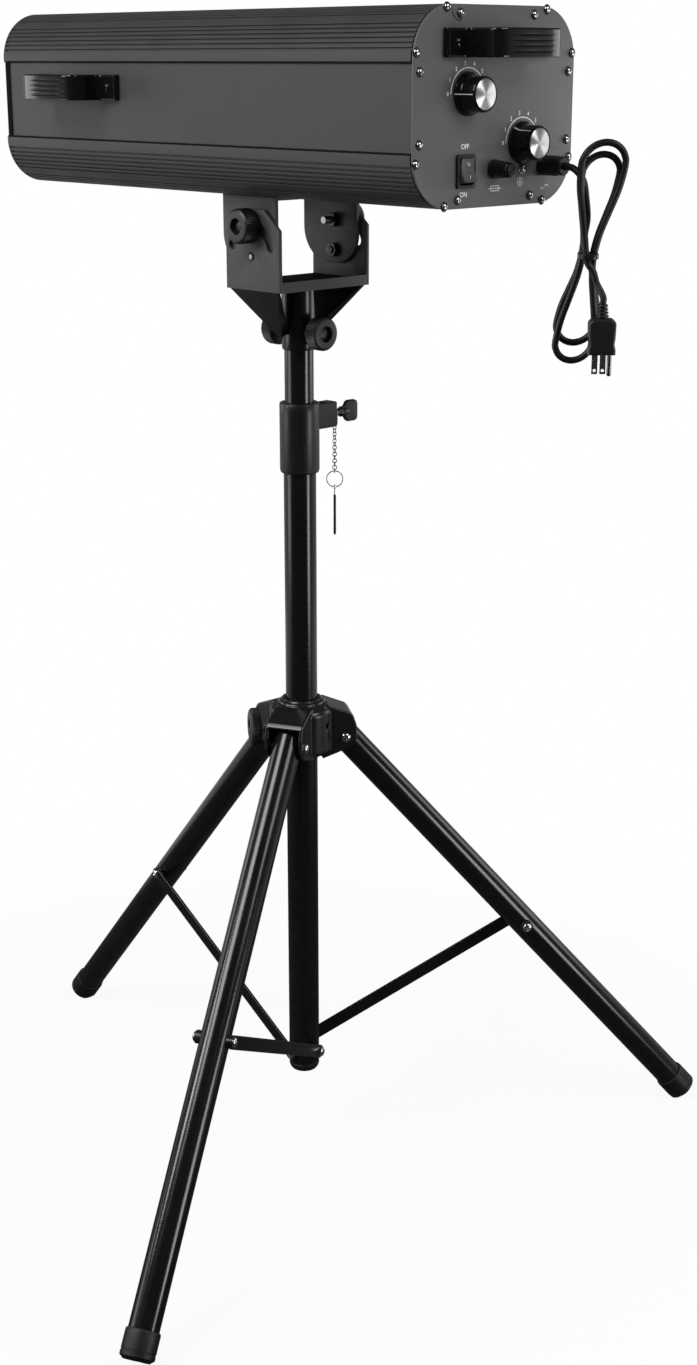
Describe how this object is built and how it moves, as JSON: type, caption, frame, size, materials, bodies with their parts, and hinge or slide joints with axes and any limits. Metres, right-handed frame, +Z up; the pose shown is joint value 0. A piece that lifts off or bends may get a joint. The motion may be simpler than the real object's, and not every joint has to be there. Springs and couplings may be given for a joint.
{
  "type": "follow spot",
  "caption": "Follow spot: long lamp head with rear controls and carrying handles, tilting in a yoke on a telescoping mast with a folding tripod stand.",
  "frame": {"origin": "bottom centre of the bounding box of everything but the cord, on the floor", "axes": "+Z up, +Y the way the beam points, +X to the right of the beam"},
  "size_m": [0.842, 0.8508, 1.2681],
  "materials": {
    "housing_paint": "satin dark grey powder coat",
    "plate_paint": "satin grey paint",
    "bracket_paint": "satin dark grey powder coat",
    "tube_paint": "gloss black paint",
    "black_plastic": "black moulded plastic",
    "grey_plastic": "dark grey moulded plastic",
    "rubber": "dark grey rubber",
    "cord_rubber": "black cord jacket",
    "steel": "bright steel",
    "aluminium": "bright aluminium",
    "glass": "clear glass"
  },
  "bodies": {
    "column": {"lower_tube": "tube_paint", "tube_end_plug": "black_plastic", "tube_collar": "black_plastic"},
    "collar_screw": {"collar_screw": "black_plastic"},
    "chain": {"safety_chain": "steel"},
    "pin": {"split_ring": "steel", "locking_pin": "steel"},
    "hub": {"hub": "bracket_paint"},
    "hub_knob": {"hub_knob": "black_plastic"},
    "mast": {"upper_tube": "tube_paint"},
    "yoke": {"yoke_bracket": "bracket_paint", "yoke_socket": "bracket_paint"},
    "socket_knob_front": {"socket_knob_front": "black_plastic"},
    "socket_knob_rear": {"socket_knob_rear": "black_plastic"},
    "head": {"head_bracket": "bracket_paint", "rail_top_left": "housing_paint", "rail_top_right": "housing_paint", "rail_bottom_left": "housing_paint", "rail_bottom_right": "housing_paint", "side_panel_left": "housing_paint", "side_panel_right": "housing_paint", "top_panel": "housing_paint", "bottom_panel": "housing_paint", "rear_plate": "plate_paint", "front_plate": "black_plastic", "lens_bezel": "black_plastic", "front_lens": "glass", "chassis_tray": "steel", "reflector": "aluminium", "discharge_lamp": "glass", "ballast": "bracket_paint", "fan_frame": "black_plastic", "wheel_motor": "black_plastic", "rocker_frame": "black_plastic", "fuse_holder": "black_plastic", "cord_gland": "black_plastic", "rear_handle": "black_plastic", "side_handle": "black_plastic", "cord_lead": "cord_rubber", "cord_hank": "cord_rubber", "cord_tail": "cord_rubber", "plug": "black_plastic"},
    "tilt_knob_left": {"tilt_knob_left": "black_plastic"},
    "tilt_knob_right": {"tilt_knob_right": "black_plastic"},
    "colour_knob": {"colour_knob": "aluminium"},
    "aperture_knob": {"aperture_knob": "aluminium"},
    "colour_wheel": {"colour_wheel": "aluminium"},
    "iris": {"iris_ring": "aluminium"},
    "rocker": {"rocker": "grey_plastic"},
    "fuse_cap": {"fuse_cap": "black_plastic"},
    "fan": {"fan_rotor": "black_plastic"},
    "leg_1": {"leg_1": "tube_paint", "foot_1": "rubber"},
    "brace_1": {"brace_1": "tube_paint"},
    "leg_2": {"leg_2": "tube_paint", "foot_2": "rubber"},
    "brace_2": {"brace_2": "tube_paint"},
    "leg_3": {"leg_3": "tube_paint", "foot_3": "rubber"},
    "brace_3": {"brace_3": "tube_paint"}
  },
  "joints": [
    {"name": "hub_slide", "type": "slide", "parent": "column", "child": "hub", "axis": [0, 0, 1], "range_m": [0, 0.23156]},
    {"name": "leg_fold_1", "type": "hinge", "parent": "hub", "child": "leg_1", "pos_m": [0.01603, -0.0384, 0.502], "axis": [-0.9988, 0.0494, 0], "range_deg": [0, 40.88]},
    {"name": "brace_fold_1", "type": "hinge", "parent": "column", "child": "brace_1", "pos_m": [0.01376, -0.08434, 0.108], "axis": [0.9988, -0.0494, 0], "range_deg": [0, 52.29]},
    {"name": "leg_fold_2", "type": "hinge", "parent": "hub", "child": "leg_2", "pos_m": [-0.02727, -0.10514, 0.502], "axis": [0.4521, -0.892, 0], "range_deg": [0, 40.88]},
    {"name": "brace_fold_2", "type": "hinge", "parent": "column", "child": "brace_2", "pos_m": [0.01376, -0.08434, 0.108], "axis": [-0.4521, 0.892, 0], "range_deg": [0, 52.29]},
    {"name": "leg_fold_3", "type": "hinge", "parent": "hub", "child": "leg_3", "pos_m": [0.05206, -0.10982, 0.502], "axis": [0.5538, 0.8326, 0], "range_deg": [0, 40.88]},
    {"name": "brace_fold_3", "type": "hinge", "parent": "column", "child": "brace_3", "pos_m": [0.01376, -0.08434, 0.108], "axis": [-0.5538, -0.8326, 0], "range_deg": [0, 52.29]},
    {"name": "mast_slide", "type": "slide", "parent": "column", "child": "mast", "axis": [0, 0, 1], "range_m": [-0.045, 0.3]},
    {"name": "pan", "type": "hinge", "parent": "mast", "child": "yoke", "pos_m": [0.01376, -0.08434, 0.996], "axis": [0, 0, 1], "continuous": true},
    {"name": "tilt", "type": "hinge", "parent": "yoke", "child": "head", "pos_m": [0.01376, -0.08234, 1.03], "axis": [1, 0, 0], "range_deg": [-40, 55]},
    {"name": "tilt_knob_left_turn", "type": "hinge", "parent": "head", "child": "tilt_knob_left", "pos_m": [-0.04954, -0.08234, 1.061], "axis": [1, 0, 0], "range_deg": [-180, 180]},
    {"name": "tilt_knob_right_turn", "type": "hinge", "parent": "head", "child": "tilt_knob_right", "pos_m": [0.07706, -0.08234, 1.061], "axis": [1, 0, 0], "range_deg": [-180, 180]},
    {"name": "socket_knob_front_turn", "type": "hinge", "parent": "yoke", "child": "socket_knob_front", "pos_m": [0.01376, -0.05804, 0.95], "axis": [0, 1, 0], "range_deg": [-180, 180]},
    {"name": "socket_knob_rear_turn", "type": "hinge", "parent": "yoke", "child": "socket_knob_rear", "pos_m": [0.01376, -0.11064, 0.95], "axis": [0, 1, 0], "range_deg": [-180, 180]},
    {"name": "hub_knob_turn", "type": "hinge", "parent": "hub", "child": "hub_knob", "pos_m": [-0.02566, -0.05874, 0.514], "axis": [-0.8387, 0.5446, 0], "range_deg": [-180, 180]},
    {"name": "collar_screw_turn", "type": "hinge", "parent": "column", "child": "collar_screw", "pos_m": [0.07596, -0.08434, 0.85715], "axis": [1, 0, 0], "range_deg": [-180, 180]},
    {"name": "chain_swing", "type": "hinge", "parent": "column", "child": "chain", "pos_m": [0.06526, -0.08434, 0.86095], "axis": [0, -1, 0], "range_deg": [0, 30]},
    {"name": "pin_swing", "type": "hinge", "parent": "chain", "child": "pin", "pos_m": [0.06526, -0.08434, 0.79315], "axis": [0, -1, 0], "range_deg": [0, 30]},
    {"name": "colour_knob_turn", "type": "hinge", "parent": "head", "child": "colour_knob", "pos_m": [-0.02424, -0.35474, 1.1913], "axis": [0, 1, 0], "range_deg": [0, 180]},
    {"name": "aperture_knob_turn", "type": "hinge", "parent": "head", "child": "aperture_knob", "pos_m": [0.05126, -0.35474, 1.147], "axis": [0, 1, 0], "range_deg": [-45, 135]},
    {"name": "colour_wheel_turn", "type": "hinge", "parent": "head", "child": "colour_wheel", "pos_m": [0.05776, -0.07334, 1.1793], "axis": [0, 1, 0], "range_deg": [0, 300.1]},
    {"name": "iris_turn", "type": "hinge", "parent": "head", "child": "iris", "pos_m": [0.01376, -0.06134, 1.1793], "axis": [0, 1, 0], "range_deg": [-15.1, 45.1]},
    {"name": "rocker_turn", "type": "hinge", "parent": "head", "child": "rocker", "pos_m": [-0.02654, -0.35474, 1.1235], "axis": [1, 0, 0], "range_deg": [0, 24]},
    {"name": "fuse_cap_turn", "type": "hinge", "parent": "head", "child": "fuse_cap", "pos_m": [0.01276, -0.35474, 1.1243], "axis": [0, 1, 0], "range_deg": [0, 90]},
    {"name": "fan_spin", "type": "hinge", "parent": "head", "child": "fan", "pos_m": [0.01376, -0.28934, 1.1846], "axis": [0, 1, 0], "continuous": true}
  ],
  "couplings": [
    {"joint": "leg_fold_1", "follows": "hub_slide", "rad_per_m": 3.0805},
    {"joint": "brace_fold_1", "follows": "hub_slide", "rad_per_m": 3.9403},
    {"joint": "leg_fold_2", "follows": "hub_slide", "rad_per_m": 3.0805},
    {"joint": "brace_fold_2", "follows": "hub_slide", "rad_per_m": 3.9403},
    {"joint": "leg_fold_3", "follows": "hub_slide", "rad_per_m": 3.0805},
    {"joint": "brace_fold_3", "follows": "hub_slide", "rad_per_m": 3.9403},
    {"joint": "colour_wheel_turn", "follows": "colour_knob_turn", "ratio": 1.6667},
    {"joint": "iris_turn", "follows": "aperture_knob_turn", "ratio": 0.33333}
  ]
}
